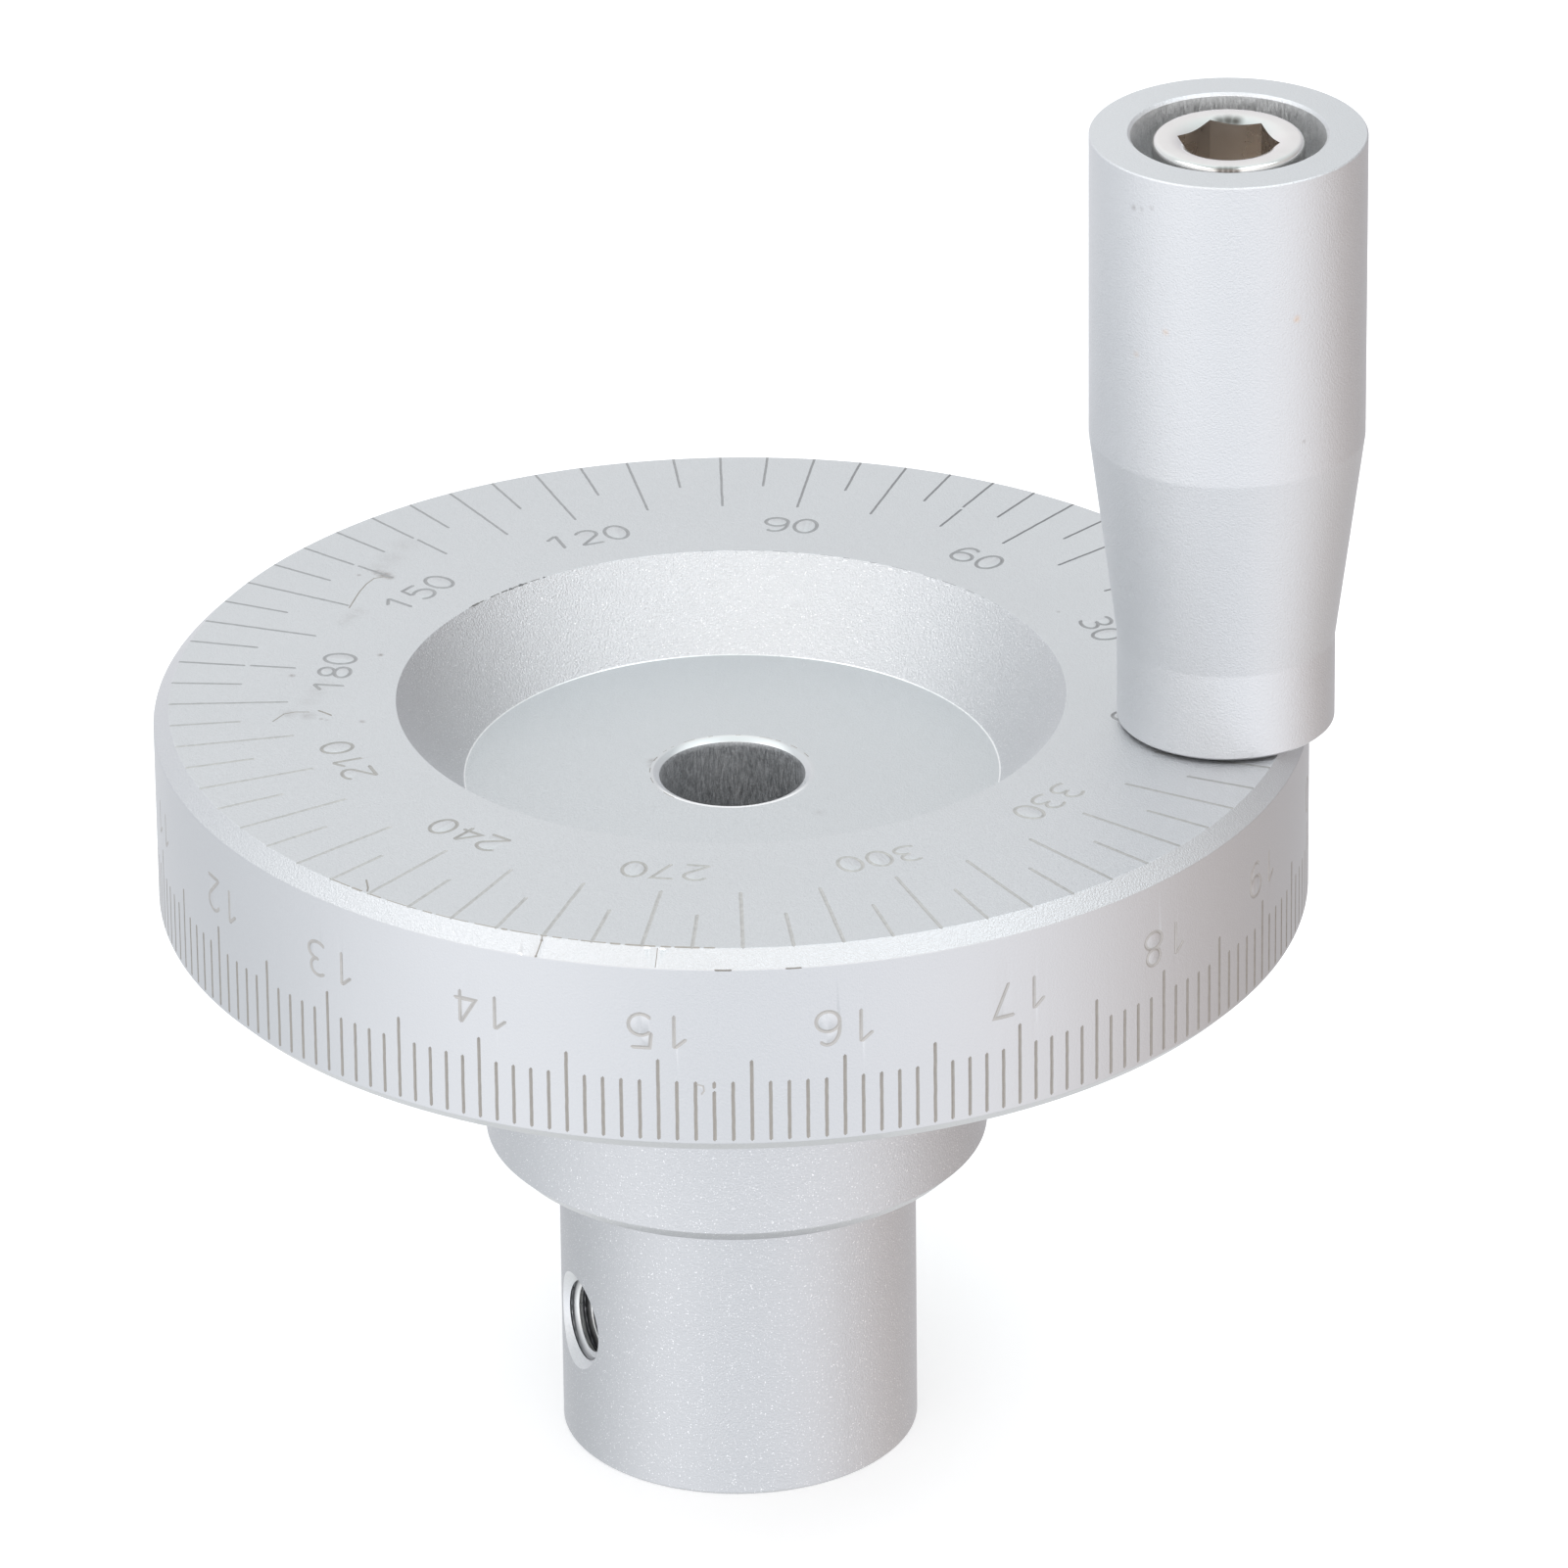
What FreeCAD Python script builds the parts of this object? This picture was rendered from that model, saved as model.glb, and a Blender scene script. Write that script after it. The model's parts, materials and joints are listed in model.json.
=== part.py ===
import FreeCAD, Part
import math
import os

# Machine handwheel with a revolving grip, in millimetres.
# +Z runs up the shaft axis and +X points at the grip. The origin is on the shaft axis
# at the hub's bottom face, which is the face that the wheel stands on.

# Wheel: a disc, a collar and a hub turned from one bar
WHEEL_DIAMETER = 80.0
DISC_THICKNESS = 15.0
FACE_CHAMFER = 1.1
RIM_CHAMFER = 0.85
COLLAR_DIAMETER = 35.2
COLLAR_HEIGHT = 19.0
COLLAR_CHAMFER = 1.0
HUB_DIAMETER = 25.1
HUB_HEIGHT = 22.5
HUB_EDGE_BREAK = 0.2

# Dish in the dial face, where the shaft's nut and washer sit
DISH_MOUTH_DIAMETER = 46.4
DISH_FLOOR_DIAMETER = 37.2
DISH_DEPTH = 6.0

# Shaft bore
SHAFT_BORE_DIAMETER = 10.0
BORE_TOP_CHAMFER = 0.3
BORE_BOTTOM_CHAMFER = 0.3

# Tapped hole through one side of the hub, for the set screw that grips the shaft
SET_SCREW_TAP_DIAMETER = 5.0
SET_SCREW_SINK_DIAMETER = 7.2
SET_SCREW_HEIGHT = 10.0
SET_SCREW_AZIMUTH = 210.8

# Graduations: V-grooves that run outwards over the dial face's edge and down the rim.
# Azimuths are those of the zero lines, and both scales count anticlockwise from there.
LINE_WIDTH = 0.25
LINE_DEPTH = 0.15
DIAL_LINES = 72
DIAL_LONG_EVERY = 2
DIAL_LONG_LINE = 8.3
DIAL_SHORT_LINE = 4.95
DIAL_ZERO_AZIMUTH = -1.4
RIM_LINES = 200
RIM_LONG_EVERY = 5
RIM_LONG_LINE = 6.0
RIM_SHORT_LINE = 4.4
RIM_LINE_FOOT = 0.2
RIM_ZERO_AZIMUTH = 0.25

# Spindle: a plated shoulder screw that holds the grip and screws into the disc
SPINDLE_INSET = 5.65
SHANK_DIAMETER = 8.0
HEAD_DIAMETER = 10.4
HEAD_HEIGHT = 5.5
HEAD_CHAMFER = 0.35
THREAD_DIAMETER = 6.0
THREAD_LENGTH = 9.5
THREAD_END_CHAMFER = 0.8
THREAD_CLEARANCE = 0.02
THREAD_HOLE_SPARE = 1.5
THREAD_HOLE_SINK = 0.3
SOCKET_ACROSS_FLATS = 6.08
SOCKET_DEPTH = 5.2
SOCKET_MOUTH_DIAMETER = 8.8
SOCKET_MOUTH_DEPTH = 0.61
SOCKET_TURN = -3.6

# Grip: a turned sleeve that spins on the spindle's shank
GRIP_DIAMETER = 18.9
GRIP_FOOT_DIAMETER = 15.0
GRIP_FOOT_LENGTH = 6.4
GRIP_TAPER_LENGTH = 15.1
GRIP_BODY_LENGTH = 22.1
GRIP_EDGE_BREAK = 0.12
GRIP_BORE_CHAMFER = 0.4
COUNTERBORE_DIAMETER = 13.3
COUNTERBORE_CHAMFER = 0.2
HEAD_RECESS = 0.4
RUNNING_CLEARANCE = 0.06
END_CLEARANCE = 0.2

# Twist drills end in a cone of 118 degrees
DRILL_POINT_SLOPE = 1.0 / math.tan(math.radians(118.0 / 2))

# Heights and radii that follow from the sizes above
COLLAR_BOTTOM = HUB_HEIGHT
DISC_BOTTOM = COLLAR_BOTTOM + COLLAR_HEIGHT
DIAL_FACE = DISC_BOTTOM + DISC_THICKNESS
DISH_FLOOR = DIAL_FACE - DISH_DEPTH
WHEEL_RADIUS = WHEEL_DIAMETER / 2
SPINDLE_CENTRE_RADIUS = WHEEL_RADIUS - SPINDLE_INSET
COLLAR_RADIUS = COLLAR_DIAMETER / 2
HUB_RADIUS = HUB_DIAMETER / 2
BORE_RADIUS = SHAFT_BORE_DIAMETER / 2
GRIP_BOTTOM = DIAL_FACE + END_CLEARANCE
GRIP_TOP = GRIP_BOTTOM + GRIP_FOOT_LENGTH + GRIP_TAPER_LENGTH + GRIP_BODY_LENGTH
HEAD_TOP = GRIP_TOP - HEAD_RECESS
HEAD_SEAT = HEAD_TOP - HEAD_HEIGHT
COUNTERBORE_FLOOR = HEAD_SEAT - END_CLEARANCE

Y_AXIS = FreeCAD.Vector(0, 1, 0)
Z_AXIS = FreeCAD.Vector(0, 0, 1)
SPINDLE_AXIS = FreeCAD.Vector(SPINDLE_CENTRE_RADIUS, 0, 0)


def turned(profile, centre=FreeCAD.Vector(0, 0, 0)):
    """A solid of revolution about a vertical axis through centre.

    The profile is a closed outline of (radius, height) points."""
    corners = [FreeCAD.Vector(radius, 0, height) for radius, height in profile]
    face = Part.Face(Part.makePolygon(corners + corners[:1]))
    solid = face.revolve(FreeCAD.Vector(0, 0, 0), Z_AXIS, 360)
    solid.translate(centre)
    return solid


def hexagon_prism(across_flats, bottom, top, turn, centre):
    """A hexagonal prism between two heights, one corner at the given azimuth."""
    radius = across_flats / math.sqrt(3)
    corners = []
    for side in range(6):
        angle = math.radians(turn + 60 * side)
        corners.append(FreeCAD.Vector(radius * math.cos(angle), radius * math.sin(angle), bottom))
    face = Part.Face(Part.makePolygon(corners + corners[:1]))
    prism = face.extrude(Z_AXIS * (top - bottom))
    prism.translate(centre)
    return prism


def wheel_blank():
    """The turned outline: hub, collar, graduated disc, dish and bore."""
    return turned([
        (BORE_RADIUS + BORE_BOTTOM_CHAMFER, 0),
        (HUB_RADIUS - HUB_EDGE_BREAK, 0),
        (HUB_RADIUS, HUB_EDGE_BREAK),
        (HUB_RADIUS, COLLAR_BOTTOM),
        (COLLAR_RADIUS - COLLAR_CHAMFER, COLLAR_BOTTOM),
        (COLLAR_RADIUS, COLLAR_BOTTOM + COLLAR_CHAMFER),
        (COLLAR_RADIUS, DISC_BOTTOM),
        (WHEEL_RADIUS - RIM_CHAMFER, DISC_BOTTOM),
        (WHEEL_RADIUS, DISC_BOTTOM + RIM_CHAMFER),
        (WHEEL_RADIUS, DIAL_FACE - FACE_CHAMFER),
        (WHEEL_RADIUS - FACE_CHAMFER, DIAL_FACE),
        (DISH_MOUTH_DIAMETER / 2, DIAL_FACE),
        (DISH_FLOOR_DIAMETER / 2, DISH_FLOOR),
        (BORE_RADIUS + BORE_TOP_CHAMFER, DISH_FLOOR),
        (BORE_RADIUS, DISH_FLOOR - BORE_TOP_CHAMFER),
        (BORE_RADIUS, BORE_BOTTOM_CHAMFER),
    ])


def set_screw_hole():
    """The countersunk tap hole that runs radially from the bore out of the hub."""
    azimuth = math.radians(SET_SCREW_AZIMUTH)
    outward = FreeCAD.Vector(math.cos(azimuth), math.sin(azimuth), 0)
    centre = FreeCAD.Vector(0, 0, SET_SCREW_HEIGHT)
    tap_radius = SET_SCREW_TAP_DIAMETER / 2
    sink_radius = SET_SCREW_SINK_DIAMETER / 2
    drill = Part.makeCylinder(tap_radius, HUB_DIAMETER, centre, outward)
    sink_start = HUB_RADIUS - (sink_radius - tap_radius)
    sink_length = HUB_RADIUS
    sink = Part.makeCone(tap_radius, tap_radius + sink_length, sink_length,
                         centre + outward * sink_start, outward)
    return drill.fuse(sink)


def spindle_hole():
    """The blind tapped hole in the disc that takes the spindle's thread."""
    radius = THREAD_DIAMETER / 2 + THREAD_CLEARANCE
    bottom = DIAL_FACE - THREAD_LENGTH - THREAD_HOLE_SPARE
    return turned([
        (0, bottom - radius * DRILL_POINT_SLOPE),
        (radius, bottom),
        (radius, DIAL_FACE - THREAD_HOLE_SINK),
        (radius + THREAD_HOLE_SINK, DIAL_FACE),
        (radius + THREAD_HOLE_SINK, DIAL_FACE + END_CLEARANCE),
        (0, DIAL_FACE + END_CLEARANCE),
    ], SPINDLE_AXIS)


def line_cutter(length):
    """A V-shaped cutter along +X that leaves a groove in a surface at height 0.

    Its sides run on above the surface, where it is twice as wide as the groove."""
    corners = [
        FreeCAD.Vector(0, 0, -LINE_DEPTH),
        FreeCAD.Vector(0, LINE_WIDTH, LINE_DEPTH),
        FreeCAD.Vector(0, -LINE_WIDTH, LINE_DEPTH),
    ]
    face = Part.Face(Part.makePolygon(corners + corners[:1]))
    return face.extrude(FreeCAD.Vector(length, 0, 0))


def turned_to(shape, azimuth):
    shape.rotate(FreeCAD.Vector(0, 0, 0), Z_AXIS, azimuth)
    return shape


def dial_lines():
    """Radial lines on the dial face, which run out over the face's chamfer."""
    lines = []
    for i in range(DIAL_LINES):
        length = DIAL_LONG_LINE if i % DIAL_LONG_EVERY == 0 else DIAL_SHORT_LINE
        line = line_cutter(length + FACE_CHAMFER)
        line.translate(FreeCAD.Vector(WHEEL_RADIUS - FACE_CHAMFER - length, 0, DIAL_FACE))
        lines.append(turned_to(line, DIAL_ZERO_AZIMUTH + 360.0 * i / DIAL_LINES))
    return lines


def rim_lines():
    """Upright lines round the rim, which start just above the lower chamfer."""
    foot = DISC_BOTTOM + RIM_CHAMFER + RIM_LINE_FOOT
    lines = []
    for i in range(RIM_LINES):
        length = RIM_LONG_LINE if i % RIM_LONG_EVERY == 0 else RIM_SHORT_LINE
        line = line_cutter(length)
        line.rotate(FreeCAD.Vector(0, 0, 0), Y_AXIS, 90)
        line.translate(FreeCAD.Vector(WHEEL_RADIUS, 0, foot + length))
        lines.append(turned_to(line, RIM_ZERO_AZIMUTH + 360.0 * i / RIM_LINES))
    return lines


def handwheel():
    wheel = wheel_blank().cut([set_screw_hole(), spindle_hole()])
    return wheel.cut(dial_lines() + rim_lines())


def handle_spindle():
    """Threaded end, shank and socket head, turned and then broached."""
    thread_radius = THREAD_DIAMETER / 2
    shank_radius = SHANK_DIAMETER / 2
    head_radius = HEAD_DIAMETER / 2
    thread_end = DIAL_FACE - THREAD_LENGTH
    blank = turned([
        (0, thread_end),
        (thread_radius - THREAD_END_CHAMFER, thread_end),
        (thread_radius, thread_end + THREAD_END_CHAMFER),
        (thread_radius, DIAL_FACE),
        (shank_radius, DIAL_FACE),
        (shank_radius, HEAD_SEAT),
        (head_radius, HEAD_SEAT),
        (head_radius, HEAD_TOP - HEAD_CHAMFER),
        (head_radius - HEAD_CHAMFER, HEAD_TOP),
        (0, HEAD_TOP),
    ], SPINDLE_AXIS)
    socket_floor = HEAD_TOP - SOCKET_DEPTH
    socket = hexagon_prism(SOCKET_ACROSS_FLATS, socket_floor, HEAD_TOP, SOCKET_TURN, SPINDLE_AXIS)
    drill_radius = SOCKET_ACROSS_FLATS / 2
    drill_point = turned([
        (0, socket_floor - drill_radius * DRILL_POINT_SLOPE),
        (drill_radius, socket_floor),
        (0, socket_floor),
    ], SPINDLE_AXIS)
    mouth = turned([
        (0, HEAD_TOP - SOCKET_MOUTH_DEPTH),
        (SOCKET_ACROSS_FLATS / 4, HEAD_TOP - SOCKET_MOUTH_DEPTH),
        (SOCKET_MOUTH_DIAMETER / 2, HEAD_TOP),
        (0, HEAD_TOP),
    ], SPINDLE_AXIS)
    return blank.cut(socket.fuse([drill_point, mouth]))


def handle_grip():
    """Straight foot, taper and straight body, bored for the shank and the head."""
    foot_radius = GRIP_FOOT_DIAMETER / 2
    body_radius = GRIP_DIAMETER / 2
    bore_radius = SHANK_DIAMETER / 2 + RUNNING_CLEARANCE
    counterbore_radius = COUNTERBORE_DIAMETER / 2
    taper_start = GRIP_BOTTOM + GRIP_FOOT_LENGTH
    taper_end = taper_start + GRIP_TAPER_LENGTH
    return turned([
        (bore_radius + GRIP_BORE_CHAMFER, GRIP_BOTTOM),
        (foot_radius - GRIP_EDGE_BREAK, GRIP_BOTTOM),
        (foot_radius, GRIP_BOTTOM + GRIP_EDGE_BREAK),
        (foot_radius, taper_start),
        (body_radius, taper_end),
        (body_radius, GRIP_TOP - GRIP_EDGE_BREAK),
        (body_radius - GRIP_EDGE_BREAK, GRIP_TOP),
        (counterbore_radius + COUNTERBORE_CHAMFER, GRIP_TOP),
        (counterbore_radius, GRIP_TOP - COUNTERBORE_CHAMFER),
        (counterbore_radius, COUNTERBORE_FLOOR),
        (bore_radius, COUNTERBORE_FLOOR),
        (bore_radius, GRIP_BOTTOM + GRIP_BORE_CHAMFER),
    ], SPINDLE_AXIS)


def write_parts():
    pieces = {
        "handwheel": handwheel(),
        "handle_spindle": handle_spindle(),
        "handle_grip": handle_grip(),
    }
    os.makedirs("parts", exist_ok=True)
    for name, shape in pieces.items():
        shape = shape.removeSplitter()
        shape.exportStep("parts/" + name + ".step")
        box = shape.BoundBox
        print(name, "solids", len(shape.Solids), "valid", shape.isValid(),
              "volume %.1f" % shape.Volume,
              "z %.2f to %.2f" % (box.ZMin, box.ZMax))


write_parts()
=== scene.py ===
import json
import math
import random

import bpy
from mathutils import Matrix, Vector


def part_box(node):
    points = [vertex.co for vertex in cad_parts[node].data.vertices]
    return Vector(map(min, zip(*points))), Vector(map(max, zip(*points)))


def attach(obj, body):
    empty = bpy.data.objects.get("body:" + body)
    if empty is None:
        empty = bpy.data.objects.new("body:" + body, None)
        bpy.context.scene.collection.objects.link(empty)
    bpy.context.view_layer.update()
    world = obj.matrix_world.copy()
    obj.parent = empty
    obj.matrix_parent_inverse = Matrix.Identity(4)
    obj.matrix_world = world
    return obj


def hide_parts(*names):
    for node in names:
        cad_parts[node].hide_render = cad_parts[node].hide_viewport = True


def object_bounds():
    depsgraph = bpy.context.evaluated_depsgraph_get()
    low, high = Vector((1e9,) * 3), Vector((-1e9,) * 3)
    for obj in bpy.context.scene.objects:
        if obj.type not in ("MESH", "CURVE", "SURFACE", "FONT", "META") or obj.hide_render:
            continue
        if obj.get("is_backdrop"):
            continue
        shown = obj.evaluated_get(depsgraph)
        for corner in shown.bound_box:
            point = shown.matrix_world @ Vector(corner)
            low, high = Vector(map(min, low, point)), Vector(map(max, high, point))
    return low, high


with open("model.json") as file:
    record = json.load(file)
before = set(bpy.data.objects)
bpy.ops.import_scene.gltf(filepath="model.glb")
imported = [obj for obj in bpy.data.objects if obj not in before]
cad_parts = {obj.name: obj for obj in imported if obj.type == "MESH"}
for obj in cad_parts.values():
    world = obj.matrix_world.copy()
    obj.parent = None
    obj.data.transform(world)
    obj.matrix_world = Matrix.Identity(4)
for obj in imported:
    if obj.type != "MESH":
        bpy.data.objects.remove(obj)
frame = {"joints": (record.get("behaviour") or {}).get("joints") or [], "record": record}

cad_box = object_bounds()

MM = 0.001

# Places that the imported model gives, in millimetres
MOUNTS = {mount["name"]: mount for mount in frame["record"]["mounts"]}
GRIP_LOW, GRIP_HIGH = (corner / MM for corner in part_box("handle_grip"))
SPINDLE_LOW, SPINDLE_HIGH = (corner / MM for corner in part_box("handle_spindle"))
SPINDLE_X = frame["joints"][0]["pos_m"][0] / MM
DIAL_FACE = (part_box("handwheel")[1] / MM).z
DISH_FLOOR = MOUNTS["dish_floor"]["pos_m"][2] / MM
BORE_RADIUS = MOUNTS["shaft_bore"]["dims"]["r_mm"]
SET_SCREW = MOUNTS["set_screw_hole"]

# Wheel sizes, in millimetres. Roundings are the radii of its turned edges.
WHEEL_RADIUS = 40.0
DISC_THICKNESS = 15.0
FACE_CHAMFER = 1.1
RIM_CHAMFER = 0.85
COLLAR_RADIUS = 17.6
COLLAR_HEIGHT = 19.0
COLLAR_CHAMFER = 1.0
HUB_RADIUS = 12.55
HUB_EDGE_BREAK = 0.2
DISH_MOUTH_RADIUS = 23.2
DISH_FLOOR_RADIUS = 18.6
BORE_BOTTOM_CHAMFER = 0.3
BORE_FLARE = 0.08
BORE_FLARE_DEPTH = 0.6
BORE_EDGE_RUN = 0.42
BORE_EDGE_DROP = 0.2
BORE_LIP = 0.22
DISH_FILLET = 0.12
STEP_FILLET = 0.25
EDGE_ROUNDING = 0.12
FACE_EDGE_ROUNDING = 0.1
SMALL_ROUNDING = 0.08
FINE_ROUNDING = 0.04
DISC_BOTTOM = DIAL_FACE - DISC_THICKNESS
COLLAR_BOTTOM = DISC_BOTTOM - COLLAR_HEIGHT
BORE_MOUTH_RADIUS = BORE_RADIUS + BORE_FLARE + BORE_EDGE_RUN
RIM_SKIN_DEPTH = 0.05
HUB_SKIN_REACH = 0.3
DISH_WALL_RUN = (DISH_MOUTH_RADIUS - DISH_FLOOR_RADIUS) / (DIAL_FACE - DISH_FLOOR)

# Spindle and grip sizes, in millimetres
SHANK_RADIUS = 4.0
HEAD_RADIUS = 5.2
HEAD_HEIGHT = 5.5
HEAD_ROUNDING = 0.45
HEAD_SEAT_ROUNDING = 0.1
HEAD_SIDE_SPARE = 0.1
THREAD_CLEARANCE = 0.02
THREAD_HOLE_SPARE = 1.5
THREAD_OVERLAP = 0.5
SOCKET_ACROSS_FLATS = 6.08
SOCKET_DEPTH = 5.2
SOCKET_MOUTH_RADIUS = 4.2
SOCKET_MOUTH_ROUNDING = 2.1
SOCKET_MOUTH_ARC = (90, 140, 12)
SOCKET_TURN = -3.6
GRIP_BODY_RADIUS = 9.45
GRIP_FOOT_RADIUS = 7.5
GRIP_FOOT_LENGTH = 6.4
GRIP_TAPER_LENGTH = 15.1
GRIP_BORE_RADIUS = 4.06
COUNTERBORE_RADIUS = 6.65
COUNTERBORE_DEPTH = 6.1
COUNTERBORE_FILLET = 0.2
COUNTERBORE_BREAK = 0.2
COUNTERBORE_ROUNDING = 0.05
GRIP_BORE_BREAK = 0.4
GRIP_TOP_BREAK = 0.1
GRIP_FOOT_BREAK = 0.2
GRIP_FOOT_ROUNDING = 0.06
GRIP_BLEND = 2.0

# M6 thread, with a ridge whose flanks and flats follow from the last two numbers
THREAD_RADIUS = 3.0
THREAD_CORE_RADIUS = 2.5
THREAD_PITCH = 1.0
THREAD_SLOPE = 1.6
THREAD_FOOT = 0.4
SET_SCREW_SINK_RADIUS = 3.6

# Scales: both count anticlockwise seen from above, starting near the grip
DIAL_STEP = 5.0
DIAL_OFFSET = -1.4
DIAL_LONG_END = 30.6
DIAL_SHORT_END = 33.95
DIAL_LINE_WIDTH = 0.23
DIAL_LINE_OVERRUN = 0.5
DIAL_TILT_SHARE = 0.2
DIAL_NUMBER_STEP = 30
DIAL_NUMBER_RADIUS = 27.7
DIAL_DIGIT_SIZE = (1.0, 0.88)
DIAL_DIGIT_PITCH = 2.12
RIM_DIVISIONS = 200
RIM_OFFSET = 0.25
RIM_LONG_EVERY = 5
RIM_NUMBER_EVERY = 10
RIM_LINE_START = 0.2
RIM_LONG_LINE = 6.1
RIM_SHORT_LINE = 4.5
RIM_LINE_WIDTH = 0.25
RIM_NUMBER_DEPTH = 5.78
RIM_DIGIT_SIZE = (1.0, 1.0)
RIM_DIGIT_PITCH = 2.25
DIGIT_LINE_WIDTH = 0.27
GROOVE_DEPTH_SHARE = 0.2
LINE_WAVER = 0.012
LINE_WAVER_STEP = 0.45
STROKE_LIFT = 0.4
STROKE_LEAD_IN = 0.4
STROKE_END = 0.35
SHARPEST_CORNER = 0.35

# The digits were stamped by hand: how far a number stands clockwise and outwards, or
# clockwise and down on the rim, from its own line
DIAL_NUMBER_SHIFTS = {
    30: (0.2, 0), 60: (0.1, -0.1), 90: (0, -0.1), 120: (-0.2, -0.15), 150: (-0.65, -0.1),
    180: (-0.2, 0.15), 210: (0.25, 0.4), 240: (0.4, 0.3), 270: (0.2, 0),
}
RIM_NUMBER_SHIFTS = {11: (-0.5, -0.2), 12: (-0.6, -0.15), 13: (-0.3, -0.1), 14: (-0.1, 0),
                     18: (-0.1, 0.1)}

# Wear that the photo shows, in millimetres and degrees. A break is a short gap in a line.
# Scratches are (width, points on the face) and nicks are (width, start, end) azimuths.
DIAL_BREAK_RADIUS = 34.05
DIAL_BREAK = 0.26
DIAL_BREAK_SHIFT = 0.06
BROKEN_DIAL_LINES = (70, 140, 150, 180)
BROKEN_RIM_LINE = 153
RIM_BREAK_DEPTH = 10.0
RIM_BREAK = 0.15
FACE_SCRATCHES = [
    (0.1, [(-28.45, 10.76), (-28.15, 13.37), (-27.86, 14.77), (-27.45, 15.78), (-26.8, 16.1),
            (-26.22, 15.99)]),
    (0.17, [(-28.05, -5.68), (-27.56, -5.97), (-26.95, -6.39)]),
    (0.1, [(-30.89, -7.8), (-30.28, -6.5), (-29.59, -6.11), (-28.58, -6.0)]),
    (0.13, [(-20.71, -31.09), (-20.4, -32.3), (-20.36, -32.9)]),
]
DISH_EDGE_NICKS = [
    (0.1, 149.8, 149.0), (0.22, 149.0, 147.0), (0.11, 147.0, 145.8), (0.1, 144.2, 142.0),
    (0.16, 141.6, 140.0), (0.26, 139.8, 138.9), (0.13, 138.7, 137.6), (0.3, 137.5, 136.7),
    (0.13, 136.5, 135.6), (0.09, 135.0, 133.0), (0.16, 132.4, 131.8),
]
CHAMFER_NICKS = [(0.16, 275.8, 277.5), (0.14, 282.6, 284.2)]
CHAMFER_SCRATCHES = [
    (0.1, 258.5, [(0.02, -1.1), (-0.05, -0.45), (0.02, 0.2), (0.1, 0.78)]),
    (0.22, 258.5, [(-0.1, -0.56), (0.0, -0.36)]),
    (0.2, 258.5, [(0.06, 0.6), (0.13, 0.8)]),
    (0.07, 270.5, [(0.2, -0.7), (0.22, 0.1), (0.25, 0.7)]),
]
CHAMFER_SPECKS = [(0.2, 256.8, 0.7), (0.22, 269.2, -0.66), (0.2, 270.7, -0.62)]
FACE_EDGE_WEAR = (233.0, 275.0)
FACE_EDGE_WEAR_INSET = 0.06
BORE_EDGE_WEAR = (20.0, 205.0)
DISH_EDGE_WEAR = (42.0, 100.0)
SPECK_DEPTH = 0.14
SHORTEST_NICK = 0.3
NARROWEST_GAP = 0.1
NICK_DEPTH_SHARE = 0.35
CHAMFER_NICK_SHARE = 0.5
CHAMFER_NICK_BOW = 0.02
SCRATCH_SHARE = 0.3
RIM_HOOK = (152, 0.13, [(0.0, 9.65), (-0.52, 9.79), (-0.58, 10.16), (-0.38, 10.46)])
# Spots and smears: places, radius and strength
FACE_SMUDGES = [
    (-27.3, 16.8, 0.7, 0.75), (-26.8, 16.4, 0.8, 0.85), (-26.4, 16.1, 0.6, 0.8),
    (-27.4, 17.5, 1.5, 0.16), (-26.7, 19.2, 1.7, 0.16), (-26.1, 21.5, 1.6, 0.16),
    (-28.4, 8.5, 1.0, 0.16), (-28.1, 9.4, 1.1, 0.18), (-27.7, 10.3, 1.0, 0.16),
    (-28.9, -4.3, 1.2, 0.14), (-28.6, -2.7, 1.2, 0.16), (-28.3, -1.4, 1.0, 0.14),
    (-28.6, -6.6, 0.9, 0.35), (-29.9, -6.4, 0.9, 0.3),
    (-30.7, -0.4, 0.36, 1.0), (-25.1, 3.5, 0.34, 0.8), (-24.7, -7.1, 0.34, 0.9),
    (-28.6, 16.2, 0.25, 0.6), (21.1, 15.4, 0.25, 0.5), (-27.6, -7.0, 0.25, 0.5),
    (-27.2, -7.1, 0.25, 0.4),
]
# Darker spots on the dish floor, two of them just left of the bore
FLOOR_DARK_SPOTS = [(6.8, -5.8, 0.7, 0.2), (-5.7, 1.0, 0.7, 0.5), (-5.6, 0.3, 0.6, 0.45)]
GRIP_MARKS = [
    (28.7, -7.6, 97.8, 0.35, 0.5), (30.0, -8.4, 98.2, 0.3, 0.4), (29.3, -8.0, 97.9, 0.3, 0.3),
    (40.3, -7.4, 81.0, 0.22, 0.7), (29.0, -6.9, 77.6, 0.4, 0.4),
]
GRIP_RUST = [
    (39.8, -7.8, 90.2, 0.45, 0.5), (31.0, -8.8, 89.3, 0.4, 0.3), (28.9, -7.7, 87.1, 0.4, 0.3),
]
# Painted dark reflections on the spindle's plated head, at its front edge and at the back of the
# socket's mouth
HEAD_PAINTED_REFLECTIONS = [
    (34.3, -5.15, 99.62, 0.55, 1.0), (34.65, -5.15, 99.62, 0.6, 1.0),
    (35.0, -5.13, 99.62, 0.6, 1.0), (35.35, -5.08, 99.62, 0.55, 1.0),
    (33.5, 3.2, 99.7, 0.8, 0.9), (34.0, 3.3, 99.7, 0.9, 1.0), (34.5, 3.3, 99.7, 0.8, 1.0),
]

# How finely the round surfaces are divided, and how far cutters reach past a surface
WHEEL_SEGMENTS = 360
GRIP_SEGMENTS = 240
SPINDLE_SEGMENTS = 192
SINK_SEGMENTS = 96
HOLE_SEGMENTS = 64
THREAD_SEGMENTS = 48
THREAD_ROWS = 24
SOCKET_SIDES = 6
CUT_PAST = 1.0
SAME = 0.01
SMOOTH_ANGLE = math.radians(34)

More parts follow.
